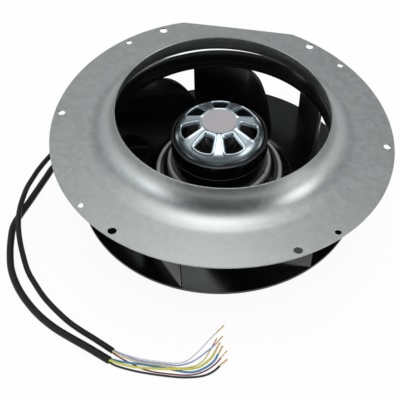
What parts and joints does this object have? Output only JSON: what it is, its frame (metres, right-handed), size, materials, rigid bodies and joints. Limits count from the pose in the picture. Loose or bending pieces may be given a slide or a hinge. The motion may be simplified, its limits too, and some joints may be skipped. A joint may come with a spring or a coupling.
{
  "type": "plug fan",
  "caption": "Backward-curved centrifugal impeller on an external-rotor motor, with a loose flared inlet ring lying upside down on its eye and two connection cables.",
  "frame": {"origin": "centre of the motor's mounting face, which stands on the floor", "axes": "+Z along the shaft towards the inlet, +Y towards the inlet ring's straight side"},
  "size_m": [0.3706, 0.3649, 0.1303],
  "materials": {
    "galvanised": "galvanised sheet",
    "zinc": "bright zinc plating",
    "black_paint": "gloss black",
    "cast_aluminium": "as cast",
    "steel": "machined",
    "lamination": "stacked sheet",
    "winding": "enamelled copper wire",
    "magnet": "sintered",
    "board": "coated board",
    "label": "satin film",
    "gland_rubber": "matt",
    "cable_sheath": "matt",
    "core_black": "smooth insulation",
    "core_green_yellow": "smooth insulation",
    "core_blue": "smooth insulation",
    "core_red": "smooth insulation",
    "core_yellow": "smooth insulation",
    "core_light_blue": "smooth insulation",
    "core_white": "smooth insulation",
    "copper": "bare copper"
  },
  "bodies": {
    "stator": {"motor_base": "cast_aluminium", "electronics_cover": "cast_aluminium", "circuit_board": "board", "cover_screw_1": "steel", "cover_screw_2": "steel", "cover_screw_3": "steel", "cover_screw_4": "steel", "bearing_tube": "steel", "bearing_lower": "steel", "bearing_upper": "steel", "stator_core": "lamination", "winding_lower": "winding", "winding_upper": "winding", "mains_gland": "gland_rubber", "signal_gland": "gland_rubber", "mains_cable": "cable_sheath", "signal_cable": "cable_sheath", "core_black": "core_black", "core_green_yellow": "core_green_yellow", "core_blue": "core_blue", "core_red": "core_red", "core_yellow": "core_yellow", "core_light_blue": "core_light_blue", "core_white": "core_white", "tip_black": "copper", "tip_green_yellow": "copper", "tip_blue": "copper", "tip_red": "copper", "tip_yellow": "copper", "tip_light_blue": "copper", "tip_white": "copper"},
    "impeller": {"shaft": "steel", "retaining_ring": "steel", "shaft_bush": "steel", "rotor_can": "zinc", "magnet_ring": "magnet", "label_disc": "label", "rotor_collar": "black_paint", "back_plate": "black_paint", "shroud": "black_paint", "blade_1": "black_paint", "blade_2": "black_paint", "blade_3": "black_paint", "blade_4": "black_paint", "blade_5": "black_paint", "blade_6": "black_paint", "blade_7": "black_paint"},
    "ring": {"inlet_ring": "galvanised"}
  },
  "joints": [
    {"name": "impeller_spin", "type": "hinge", "parent": "stator", "child": "impeller", "pos_m": [0, 0, 0], "axis": [0, 0, 1], "continuous": true},
    {"name": "inlet_ring_lift", "type": "slide", "parent": "stator", "child": "ring", "axis": [0, 0, 1], "range_m": [0, 0.06]}
  ]
}
